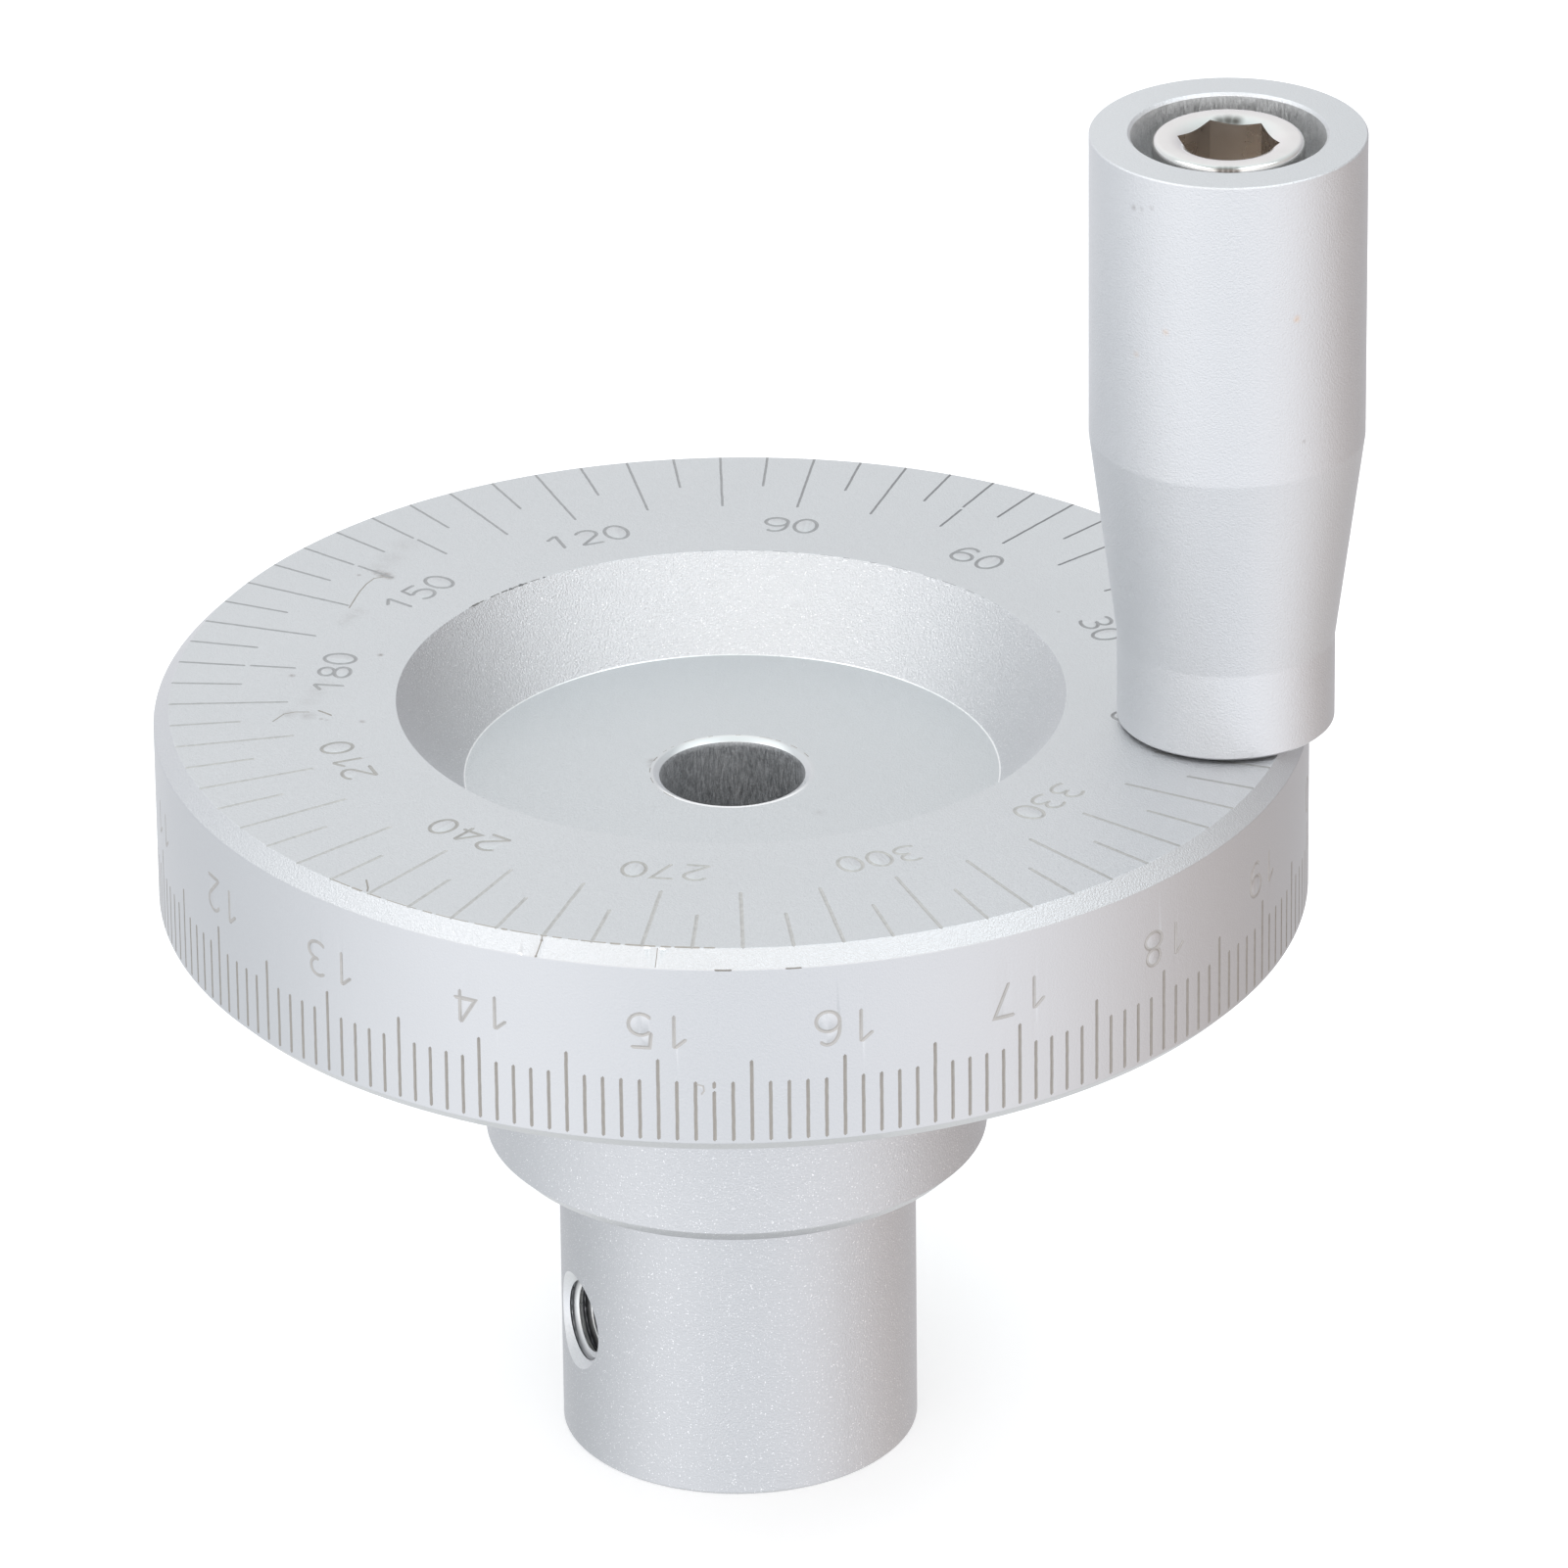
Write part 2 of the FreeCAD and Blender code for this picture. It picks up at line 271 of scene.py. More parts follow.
# Places in each piece's list of materials
ANODISED = 0
DIAL_LINE = 1
MACHINED = 2
RIM_LINE = 3
LIGHT_MARK = 4
NICK_SHADE = 5
BRIGHT_EDGE = 6
RIM_SKIN = 7
WALL_SKIN = 8
TAPPED = 9
COUNTERSINK = 10
BORE_EDGE = 11
COLLAR_SKIN = 12
HUB_SKIN = 13
DIAL_NUMBER = 14
SOCKET_WALL = 1
GRIP_INSIDE = 1


# Mesh helpers

def new_object(name, verts, faces, materials):
    """A mesh object from points in millimetres."""
    mesh = bpy.data.meshes.new(name)
    mesh.from_pydata([Vector(v) * MM for v in verts], [], faces)
    for material in materials:
        mesh.materials.append(material)
    obj = bpy.data.objects.new(name, mesh)
    bpy.context.scene.collection.objects.link(obj)
    return obj


def arc(cx, cy, rx, ry, start, end, steps=14):
    """Points along an elliptical arc between two angles in degrees."""
    points = []
    for i in range(steps + 1):
        angle = math.radians(start + (end - start) * i / steps)
        points.append((cx + rx * math.cos(angle), cy + ry * math.sin(angle)))
    return points


def ring(cx, cy, rx, ry, steps=28):
    """A closed ellipse, without its last point."""
    return arc(cx, cy, rx, ry, 90, 450, steps)[:-1]


def softened(outline, steps=4):
    """Rounds the corners of a closed outline of (radius, height, rounding) points."""
    rounded = []
    count = len(outline)
    for i, (r, z, rounding) in enumerate(outline):
        corner = Vector((r, z))
        if rounding == 0:
            rounded.append((r, z))
            continue
        before = (Vector(outline[i - 1][:2]) - corner).normalized()
        after = (Vector(outline[(i + 1) % count][:2]) - corner).normalized()
        half = before.angle(after) / 2
        reach = rounding / math.tan(half)
        centre = corner + (before + after).normalized() * (rounding / math.sin(half))
        first = corner + before * reach - centre
        turn = first.angle_signed(corner + after * reach - centre)
        for step in range(steps + 1):
            angle = -turn * step / steps
            spoke = Matrix.Rotation(angle, 2) @ first
            rounded.append(tuple(centre + spoke))
    return rounded


def lathe(name, outline, materials, segments, centre_x=0.0):
    """Turns a closed outline of (radius, height) points about a vertical axis."""
    verts = []
    rows = []
    for r, z in outline:
        if r < 1e-6:
            rows.append([len(verts)] * segments)
            verts.append((centre_x, 0, z))
            continue
        rows.append(list(range(len(verts), len(verts) + segments)))
        for s in range(segments):
            angle = 2 * math.pi * (s + 0.5) / segments
            verts.append((centre_x + r * math.cos(angle), r * math.sin(angle), z))
    faces = []
    for i, row in enumerate(rows):
        following = rows[(i + 1) % len(rows)]
        for s in range(segments):
            t = (s + 1) % segments
            loop = [row[s], row[t], following[t], following[s]]
            corners = list(dict.fromkeys(loop))
            if len(corners) > 2:
                faces.append(corners)
    return new_object(name, verts, faces, materials)


def outward_normals(obj):
    """Turns a closed mesh's faces so that they all face out."""
    import bmesh
    bm = bmesh.new()
    bm.from_mesh(obj.data)
    bmesh.ops.recalc_face_normals(bm, faces=bm.faces)
    if bm.calc_volume(signed=True) < 0:
        bmesh.ops.reverse_faces(bm, faces=bm.faces)
    bm.to_mesh(obj.data)
    bm.free()


def apply_modifiers(obj):
    """Replaces the object's mesh by its modified form."""
    depsgraph = bpy.context.evaluated_depsgraph_get()
    mesh = bpy.data.meshes.new_from_object(obj.evaluated_get(depsgraph))
    old = obj.data
    name = old.name
    obj.modifiers.clear()
    obj.data = mesh
    bpy.data.meshes.remove(old)
    mesh.name = name


def combine(obj, other, operation):
    """Joins another closed mesh on or cuts it out, keeping its faces' materials."""
    outward_normals(other)
    modifier = obj.modifiers.new("combine", "BOOLEAN")
    modifier.operation = operation
    modifier.solver = "MANIFOLD"
    modifier.object = other
    apply_modifiers(obj)
    bpy.data.objects.remove(other)


def cut(obj, cutter, material):
    """Cuts the cutter out, and gives the cut one of the object's materials."""
    for face in cutter.data.polygons:
        face.material_index = material
    combine(obj, cutter, "DIFFERENCE")


def finish_surface(obj):
    """Smooth shading with sharp corners kept, and normals led by the large faces."""
    obj.data.shade_smooth()
    obj.data.set_sharp_from_angle(angle=SMOOTH_ANGLE)
    modifier = obj.modifiers.new("normals", "WEIGHTED_NORMAL")
    modifier.keep_sharp = True
    modifier.weight = 100
    apply_modifiers(obj)


# Engraving: V-shaped grooves along strokes

class Strokes:
    """Collects the cutters of many grooves as one mesh."""

    def __init__(self):
        self.verts = []
        self.faces = []
        self.chance = random.Random(4)

    def add(self, points, place, width, closed=False, uneven=False, share=GROOVE_DEPTH_SHARE):
        """A groove along points (u, v), put on the surface by place(u, v, height)."""
        points = [Vector(p) for p in points]
        if not closed:
            points = self.with_lead_in(points, width)
        if uneven:
            points = self.wavering(points)
        count = len(points)
        depth = width * share
        lift = width * STROKE_LIFT
        first = len(self.verts)
        for i, p in enumerate(points):
            before = points[i - 1] if closed or i > 0 else None
            after = points[(i + 1) % count] if closed or i < count - 1 else None
            ahead = (after - p).normalized() if after else (p - before).normalized()
            behind = (p - before).normalized() if before else ahead
            along = (ahead + behind).normalized()
            side = Vector((-along.y, along.x)) / max(along.dot(ahead), SHARPEST_CORNER)
            end = not closed and i in (0, count - 1)
            size = STROKE_END if end else 1.0
            half = width / 2 * size * (depth + lift) / depth
            low = -depth * size
            self.verts.append(place(*(p + side * half), lift))
            self.verts.append(place(*(p - side * half), lift))
            self.verts.append(place(*p, low))
        spans = count if closed else count - 1
        for i in range(spans):
            a = first + 3 * i
            b = first + 3 * ((i + 1) % count)
            for j in range(3):
                k = (j + 1) % 3
                self.faces.append((a + j, a + k, b + k, b + j))
        if not closed:
            last = first + 3 * (count - 1)
            self.faces.append((first, first + 2, first + 1))
            self.faces.append((last, last + 1, last + 2))

    @staticmethod
    def with_lead_in(points, width):
        """Adds a point near each end, between which the groove has its full size."""
        start = points[0] + (points[1] - points[0]).normalized() * width * STROKE_LEAD_IN
        end = points[-1] + (points[-2] - points[-1]).normalized() * width * STROKE_LEAD_IN
        return [points[0], start] + points[1:-1] + [end, points[-1]]

    def wavering(self, points):
        """Adds points along the straight part of a line, each a little to one side."""
        start, end = points[1], points[-2]
        side = Vector((start.y - end.y, end.x - start.x)).normalized()
        count = int((end - start).length / LINE_WAVER_STEP)
        between = []
        for i in range(1, count):
            shift = side * self.chance.uniform(-LINE_WAVER, LINE_WAVER)
            between.append(start.lerp(end, i / count) + shift)
        return points[:2] + between + points[-2:]

    def cut_from(self, obj, materials, material):
        """Cuts all the grooves, with one of the materials on them."""
        cut(obj, new_object("strokes", self.verts, self.faces, materials), material)


# Engraved digits: strokes round a digit's centre, 2.5 mm high, in two layers so that
# no stroke crosses another of its own layer. Each is (layer, closed, points).
TOP = 1.25
SIX = [
    (0, True, ring(0, -0.5, 0.8, 0.75)),
    (1, False, [(-0.8, -0.55)] + arc(0.02, 0, 0.82, TOP, 175, 50)),
]
DIGITS = {
    "0": [(0, True, ring(0, 0, 0.8, TOP))],
    "1": [(0, False, [(0, -TOP), (0, TOP)]), (1, False, [(0.02, TOP), (-0.85, 0.5)])],
    "2": [(0, False, arc(0, 0.55, 0.76, 0.7, 165, -40) + [(-0.8, -TOP)]),
          (1, False, [(-0.84, -TOP), (0.85, -TOP)])],
    "3": [(0, False, arc(-0.05, 0.63, 0.7, 0.62, 145, -95)),
          (1, False, arc(0, -0.6, 0.83, 0.65, 100, -145))],
    "4": [(0, False, [(0.3, TOP), (-0.82, -0.6), (0.8, -0.6)]),
          (1, False, [(0.33, TOP - 0.05), (0.33, -TOP)])],
    "5": [(0, False, [(0.7, TOP), (-0.6, TOP), (-0.72, 0.1)]),
          (1, False, arc(0, -0.45, 0.83, 0.8, 142, -148))],
    "6": SIX,
    "7": [(0, False, [(-0.75, TOP), (0.8, TOP), (-0.3, -TOP)])],
    "8": [(0, True, ring(0, -0.62, 0.8, 0.63)), (1, True, ring(0, 0.64, 0.64, 0.61))],
    "9": [(layer, closed, [(-x, -y) for x, y in points]) for layer, closed, points in SIX],
}


def outward_and_clockwise(azimuth):
    """Two level directions: out from the wheel's axis, and clockwise round it."""
    angle = math.radians(azimuth)
    out = Vector((math.cos(angle), math.sin(angle), 0))
    return out, Vector((out.y, -out.x, 0))


def on_face(azimuth, radius):
    """Places (u, v, height) on the dial face: v points outwards, u clockwise."""
    out, right = outward_and_clockwise(azimuth)

    def place(u, v, height):
        return right * u + out * (radius + v) + Vector((0, 0, DIAL_FACE + height))
    return place


def on_plane(height):
    """Places (x, y, height) on a level face."""
    def place(x, y, above):
        return Vector((x, y, height + above))
    return place


def on_chamfer(azimuth):
    """Places (u, v, height) on the face's chamfer: v points down it, u clockwise."""
    out, right = outward_and_clockwise(azimuth)
    down = (out - Vector((0, 0, 1))).normalized()
    above = (out + Vector((0, 0, 1))).normalized()
    middle = out * (WHEEL_RADIUS - FACE_CHAMFER / 2)
    middle.z = DIAL_FACE - FACE_CHAMFER / 2

    def place(u, v, height):
        return middle + right * u + down * v + above * height
    return place


def on_rim(azimuth, height_below_face):
    """Places (u, v, height) on the rim: v points down, u runs clockwise round it."""
    def place(u, v, height):
        angle = math.radians(azimuth) - u / WHEEL_RADIUS
        r = WHEEL_RADIUS + height
        z = DIAL_FACE - height_below_face - v
        return Vector((r * math.cos(angle), r * math.sin(angle), z))
    return place


def engrave_number(layers, number, place, pitch, size, shift):
    """A number round a place, its digits scaled by size and all moved by shift."""
    text = str(number)
    for i, digit in enumerate(text):
        middle = (i - (len(text) - 1) / 2) * pitch + shift[0]
        for layer, closed, points in DIGITS[digit]:
            moved = [(x * size[0] + middle, y * size[1] + shift[1]) for x, y in points]
            layers[layer].add(moved, place, DIGIT_LINE_WIDTH, closed)


def engrave_dial(wheel, materials):
    """The 360 degree scale on the face, numbered every 30 degrees."""
    lines = Strokes()
    layers = [Strokes(), Strokes()]
    for i in range(int(360 / DIAL_STEP)):
        degrees = i * DIAL_STEP
        inner = DIAL_LONG_END if i % 2 == 0 else DIAL_SHORT_END
        length = WHEEL_RADIUS + DIAL_LINE_OVERRUN - inner
        azimuth = degrees + DIAL_OFFSET
        place = on_face(azimuth, inner)
        width = DIAL_LINE_WIDTH * (1 - DIAL_TILT_SHARE * math.sin(math.radians(azimuth)))
        start = 0
        if degrees in BROKEN_DIAL_LINES:
            stop = DIAL_BREAK_RADIUS - DIAL_BREAK / 2 - inner
            lines.add([(DIAL_BREAK_SHIFT, 0), (DIAL_BREAK_SHIFT, stop)], place, width, uneven=True)
            start = stop + DIAL_BREAK
        lines.add([(0, start), (0, length)], place, width, uneven=True)
        if degrees % DIAL_NUMBER_STEP == 0:
            engrave_number(layers, int(degrees), on_face(azimuth, DIAL_NUMBER_RADIUS),
                           DIAL_DIGIT_PITCH, DIAL_DIGIT_SIZE,
                           DIAL_NUMBER_SHIFTS.get(degrees, (0, 0)))
    lines.cut_from(wheel, materials, DIAL_LINE)
    for strokes in layers:
        strokes.cut_from(wheel, materials, DIAL_NUMBER)


def engrave_rim(wheel, materials):
    """The 200 divisions on the rim, numbered every ten."""
    lines = Strokes()
    layers = [Strokes(), Strokes()]
    bottom = DISC_THICKNESS - RIM_CHAMFER - RIM_LINE_START
    for i in range(RIM_DIVISIONS):
        azimuth = RIM_OFFSET + 360 * i / RIM_DIVISIONS
        length = RIM_LONG_LINE if i % RIM_LONG_EVERY == 0 else RIM_SHORT_LINE
        place = on_rim(azimuth, bottom - length)
        start = 0
        if i == BROKEN_RIM_LINE:
            stop = RIM_BREAK_DEPTH - (bottom - length)
            lines.add([(0, 0), (0, stop)], place, RIM_LINE_WIDTH)
            start = stop + RIM_BREAK
        lines.add([(0, start), (0, length)], place, RIM_LINE_WIDTH, uneven=True)
        if i % RIM_NUMBER_EVERY == 0:
            number = i // RIM_NUMBER_EVERY
            engrave_number(layers, number, on_rim(azimuth, RIM_NUMBER_DEPTH), RIM_DIGIT_PITCH,
                           RIM_DIGIT_SIZE, RIM_NUMBER_SHIFTS.get(number, (0, 0)))
    lines.cut_from(wheel, materials, RIM_LINE)
    for strokes in layers:
        strokes.cut_from(wheel, materials, LIGHT_MARK)


def edge_wear(strokes, chance, radius, height, span, longest, widths, widest_gap):
    """Short shallow nicks of uneven length and width along a round edge."""
    azimuth = span[0]
    while azimuth < span[1]:
        length = chance.uniform(SHORTEST_NICK, longest)
        azimuth += math.degrees((length + chance.uniform(NARROWEST_GAP, widest_gap)) / radius)
        width = chance.uniform(*widths)
        along_edge(strokes, radius, height, width, azimuth, length)


def along_edge(strokes, radius, height, width, azimuth, length):
    """A nick along a round edge, clockwise from an azimuth."""
    points = []
    for i in range(5):
        angle = math.radians(azimuth) - length * i / 4 / radius
        points.append((radius * math.cos(angle), radius * math.sin(angle)))
    strokes.add(points, on_plane(height), width, share=NICK_DEPTH_SHARE)


def scratch_face(wheel, materials):
    """Scratches on the face, its chamfer and the rim."""
    line, width, points = RIM_HOOK
    azimuth = RIM_OFFSET + 360 * line / RIM_DIVISIONS
    hook = Strokes()
    hook.add(points, on_rim(azimuth, 0), width)
    hook.cut_from(wheel, materials, LIGHT_MARK)
    dark = Strokes()
    for width, points in FACE_SCRATCHES:
        dark.add(points, on_plane(DIAL_FACE), width)
    for width, start, end in CHAMFER_NICKS:
        length = math.radians(end - start) * WHEEL_RADIUS
        low = FACE_CHAMFER / math.sqrt(2)
        dark.add([(-length / 2, low), (0, low + CHAMFER_NICK_BOW), (length / 2, low)],
                 on_chamfer((start + end) / 2), width, share=CHAMFER_NICK_SHARE)
    dark.cut_from(wheel, materials, RIM_LINE)
    for width, azimuth, points in CHAMFER_SCRATCHES:
        scratch = Strokes()
        scratch.add(points, on_chamfer(azimuth), width, share=SCRATCH_SHARE)
        scratch.cut_from(wheel, materials, RIM_LINE)
    specks = Strokes()
    for size, azimuth, down in CHAMFER_SPECKS:
        specks.add([(-size, down), (size, down)], on_chamfer(azimuth), size,
                   share=SCRATCH_SHARE)
    specks.cut_from(wheel, materials, BRIGHT_EDGE)


def wear_edges(wheel, materials):
    """Nicks along the edges of the face, the dish and the bore."""
    chance = random.Random(11)
    mouth = Strokes()
    for width, start, end in DISH_EDGE_NICKS:
        length = math.radians(start - end) * DISH_MOUTH_RADIUS
        along_edge(mouth, DISH_MOUTH_RADIUS, DIAL_FACE, width, start, length)
    # The nicks along the dish's mouth take painted shade
    mouth.cut_from(wheel, materials, NICK_SHADE)
    # Radius, height, span, longest nick, widths, widest gap and material
    for *edge, material in (
        (BORE_MOUTH_RADIUS + BORE_LIP, DISH_FLOOR, BORE_EDGE_WEAR, 1.2, (0.04, 0.08), 1.6,
         RIM_LINE),
        (WHEEL_RADIUS - FACE_CHAMFER - FACE_EDGE_WEAR_INSET, DIAL_FACE, FACE_EDGE_WEAR, 2.6,
         (0.1, 0.24), 0.5, RIM_LINE),
        (DISH_MOUTH_RADIUS, DIAL_FACE, DISH_EDGE_WEAR, 1.4, (0.04, 0.08), 1.6, DIAL_LINE),
        (DISH_MOUTH_RADIUS - SPECK_DEPTH * DISH_WALL_RUN, DIAL_FACE - SPECK_DEPTH,
         DISH_EDGE_WEAR, 0.4, (0.04, 0.1), 1.6, BRIGHT_EDGE),
    ):
        nicks = Strokes()
        edge_wear(nicks, chance, *edge)
        nicks.cut_from(wheel, materials, material)


# Round solids along any direction

def round_solid(name, materials, rings, centre, direction):
    """A closed solid from rings of (distance from centre along direction, radii round it)."""
    direction = Vector(direction).normalized()
    side = direction.orthogonal().normalized()
    other = direction.cross(side)
    around = len(rings[0][1])
    verts = []
    for reach, radii in rings:
        for s, r in enumerate(radii):
            angle = 2 * math.pi * s / around
            spoke = side * math.cos(angle) + other * math.sin(angle)
            verts.append(Vector(centre) + direction * reach + spoke * r)
    faces = []
    for a in range(0, len(verts) - around, around):
        b = a + around
        for s in range(around):
            t = (s + 1) % around
            faces.append((a + s, a + t, b + t, b + s))
    faces.append(tuple(range(around)))
    faces.append(tuple(range(len(verts) - around, len(verts))))
    return new_object(name, verts, faces, materials)


def thread_rod(name, materials, length, centre, direction):
    """A rod with an M6 thread's helical ridge, from centre along direction."""
    rows = int(length / THREAD_PITCH * THREAD_ROWS)
    rings = []
    for row in range(rows + 1):
        reach = length * row / rows
        radii = []
        for s in range(THREAD_SEGMENTS):
            phase = (reach / THREAD_PITCH - s / THREAD_SEGMENTS) % 1.0
            ridge = THREAD_SLOPE * (1 - abs(2 * phase - 1)) - THREAD_FOOT
            ridge = min(1.0, max(0.0, ridge))
            radii.append(THREAD_CORE_RADIUS + (THREAD_RADIUS - THREAD_CORE_RADIUS) * ridge)
        rings.append((reach, radii))
    return round_solid(name, materials, rings, centre, direction)


# Pieces

def wheel_surface(spot):
    """The material of the turned surface that a spot lies on."""
    radius = math.hypot(spot.x, spot.y)
    if radius < BORE_RADIUS + SAME or radius < BORE_RADIUS + BORE_FLARE and spot.z > DISC_BOTTOM:
        return MACHINED
    if radius < BORE_MOUTH_RADIUS + BORE_LIP and spot.z > DISC_BOTTOM:
        return BORE_EDGE
    if radius < DISH_MOUTH_RADIUS and spot.z > DISH_FLOOR + DISH_FILLET:
        return WALL_SKIN
    if DISH_FLOOR < spot.z < DISH_FLOOR + DISH_FILLET and radius < DISH_MOUTH_RADIUS:
        return BRIGHT_EDGE
    if radius > WHEEL_RADIUS - RIM_SKIN_DEPTH:
        return RIM_SKIN
    if COLLAR_BOTTOM < spot.z < DISC_BOTTOM and radius < COLLAR_RADIUS + SAME:
        return COLLAR_SKIN
    if spot.z < COLLAR_BOTTOM and radius < HUB_RADIUS + HUB_SKIN_REACH:
        return HUB_SKIN
    return ANODISED


def make_wheel(materials):
    """The turned wheel with its engraved scales, bore and tapped holes."""
    outline = softened([
        (BORE_RADIUS, BORE_BOTTOM_CHAMFER, 0),
        (BORE_RADIUS, DISH_FLOOR - BORE_FLARE_DEPTH, 0),
        (BORE_RADIUS + BORE_FLARE, DISH_FLOOR - BORE_EDGE_DROP, FINE_ROUNDING),
        (BORE_MOUTH_RADIUS, DISH_FLOOR, SMALL_ROUNDING),
        (BORE_MOUTH_RADIUS + BORE_LIP, DISH_FLOOR, 0),
        (DISH_FLOOR_RADIUS, DISH_FLOOR, DISH_FILLET),
        (DISH_MOUTH_RADIUS, DIAL_FACE, SMALL_ROUNDING),
        (WHEEL_RADIUS - FACE_CHAMFER, DIAL_FACE, FACE_EDGE_ROUNDING),
        (WHEEL_RADIUS, DIAL_FACE - FACE_CHAMFER, EDGE_ROUNDING),
        (WHEEL_RADIUS, DISC_BOTTOM + RIM_CHAMFER, EDGE_ROUNDING),
        (WHEEL_RADIUS - RIM_CHAMFER, DISC_BOTTOM, EDGE_ROUNDING),
        (COLLAR_RADIUS, DISC_BOTTOM, STEP_FILLET),
        (COLLAR_RADIUS, COLLAR_BOTTOM + COLLAR_CHAMFER, EDGE_ROUNDING),
        (COLLAR_RADIUS - COLLAR_CHAMFER, COLLAR_BOTTOM, EDGE_ROUNDING),
        (HUB_RADIUS, COLLAR_BOTTOM, STEP_FILLET),
        (HUB_RADIUS, HUB_EDGE_BREAK, SMALL_ROUNDING),
        (HUB_RADIUS - HUB_EDGE_BREAK, 0, SMALL_ROUNDING),
        (BORE_RADIUS + BORE_BOTTOM_CHAMFER, 0, 0),
    ])
    wheel = lathe("wheel_turned_body", outline, materials, WHEEL_SEGMENTS)
    outward_normals(wheel)
    for face in wheel.data.polygons:
        face.material_index = wheel_surface(face.center / MM)

    outward = Vector(SET_SCREW["axis"])
    centre = Vector((0, 0, SET_SCREW["pos_m"][2] / MM))
    sink_start = HUB_RADIUS - (SET_SCREW_SINK_RADIUS - THREAD_CORE_RADIUS)
    sink_rings = [(0, [THREAD_CORE_RADIUS] * SINK_SEGMENTS),
                  (HUB_RADIUS, [THREAD_CORE_RADIUS + HUB_RADIUS] * SINK_SEGMENTS)]
    cut(wheel, round_solid("sink", materials, sink_rings, centre + outward * sink_start, outward),
        COUNTERSINK)
    cut(wheel, thread_rod("tap", materials, HUB_RADIUS, centre + outward * BORE_RADIUS / 2,
                          outward), TAPPED)
    hole_radius = THREAD_RADIUS + THREAD_CLEARANCE
    hole_bottom = SPINDLE_LOW.z - THREAD_HOLE_SPARE
    hole_top = DIAL_FACE + CUT_PAST
    cut(wheel, lathe("hole", [(0, hole_bottom), (hole_radius, hole_bottom),
                              (hole_radius, hole_top), (0, hole_top)],
                     materials, HOLE_SEGMENTS, SPINDLE_X), MACHINED)
    engrave_dial(wheel, materials)
    engrave_rim(wheel, materials)
    scratch_face(wheel, materials)
    wear_edges(wheel, materials)
    finish_surface(wheel)
    return wheel


def make_grip(materials):
    """The turned sleeve with its bore and the recess for the spindle's head."""
    bottom = GRIP_LOW.z
    top = GRIP_HIGH.z
    recess_floor = top - COUNTERBORE_DEPTH
    outline = softened([
        (GRIP_BORE_RADIUS, bottom + GRIP_BORE_BREAK, 0),
        (GRIP_BORE_RADIUS, recess_floor, 0),
        (COUNTERBORE_RADIUS, recess_floor, COUNTERBORE_FILLET),
        (COUNTERBORE_RADIUS, top - COUNTERBORE_BREAK, COUNTERBORE_ROUNDING),
        (COUNTERBORE_RADIUS + COUNTERBORE_BREAK, top, COUNTERBORE_ROUNDING),
        (GRIP_BODY_RADIUS - GRIP_TOP_BREAK, top, FINE_ROUNDING),
        (GRIP_BODY_RADIUS, top - GRIP_TOP_BREAK, FINE_ROUNDING),
        (GRIP_BODY_RADIUS, bottom + GRIP_FOOT_LENGTH + GRIP_TAPER_LENGTH, GRIP_BLEND),
        (GRIP_FOOT_RADIUS, bottom + GRIP_FOOT_LENGTH, GRIP_BLEND),
        (GRIP_FOOT_RADIUS, bottom + GRIP_FOOT_BREAK, GRIP_FOOT_ROUNDING),
        (GRIP_FOOT_RADIUS - GRIP_FOOT_BREAK, bottom, GRIP_FOOT_ROUNDING),
        (GRIP_BORE_RADIUS + GRIP_BORE_BREAK, bottom, 0),
    ])
    grip = lathe("grip_sleeve", outline, materials, GRIP_SEGMENTS, SPINDLE_X)
    outward_normals(grip)
    for face in grip.data.polygons:
        reach = math.hypot(face.center.x / MM - SPINDLE_X, face.center.y / MM)
        face.material_index = GRIP_INSIDE if reach < COUNTERBORE_RADIUS + SAME else ANODISED
    finish_surface(grip)
    return grip


def make_spindle(materials):
    """The plated shoulder screw with its hex socket."""
    top = SPINDLE_HIGH.z
    seat = top - HEAD_HEIGHT
    mouth = [(r, top - SOCKET_MOUTH_ROUNDING + z) for r, z in arc(
        SOCKET_MOUTH_RADIUS, 0, SOCKET_MOUTH_ROUNDING, SOCKET_MOUTH_ROUNDING, *SOCKET_MOUTH_ARC)]
    outline = softened([
        (0, DIAL_FACE, 0),
        (SHANK_RADIUS, DIAL_FACE, 0),
        (SHANK_RADIUS, seat, 0),
        (HEAD_RADIUS, seat, HEAD_SEAT_ROUNDING),
        (HEAD_RADIUS, top - HEAD_ROUNDING - HEAD_SIDE_SPARE, 0),
        (HEAD_RADIUS, top, HEAD_ROUNDING),
    ] + [(r, z, 0) for r, z in mouth] + [(0, mouth[-1][1], 0)], steps=8)
    spindle = lathe("spindle_screw", outline, materials, SPINDLE_SEGMENTS, SPINDLE_X)
    outward_normals(spindle)
    corner_radius = SOCKET_ACROSS_FLATS / math.sqrt(3)
    verts = []
    for z in (top - SOCKET_DEPTH, top + CUT_PAST):
        for side in range(SOCKET_SIDES):
            angle = math.radians(SOCKET_TURN + 360 / SOCKET_SIDES * side)
            verts.append((SPINDLE_X + corner_radius * math.cos(angle),
                          corner_radius * math.sin(angle), z))
    faces = [tuple(range(SOCKET_SIDES)), tuple(range(SOCKET_SIDES, 2 * SOCKET_SIDES))]
    for i in range(SOCKET_SIDES):
        j = (i + 1) % SOCKET_SIDES
        faces.append((i, j, j + SOCKET_SIDES, i + SOCKET_SIDES))
    cut(spindle, new_object("hex", verts, faces, materials), SOCKET_WALL)
    length = DIAL_FACE - SPINDLE_LOW.z + THREAD_OVERLAP
    rod = thread_rod("thread", materials, length, (SPINDLE_X, 0, SPINDLE_LOW.z), (0, 0, 1))
    combine(spindle, rod, "UNION")
    finish_surface(spindle)
    return spindle


# Material helpers: a value is a constant or another node's output

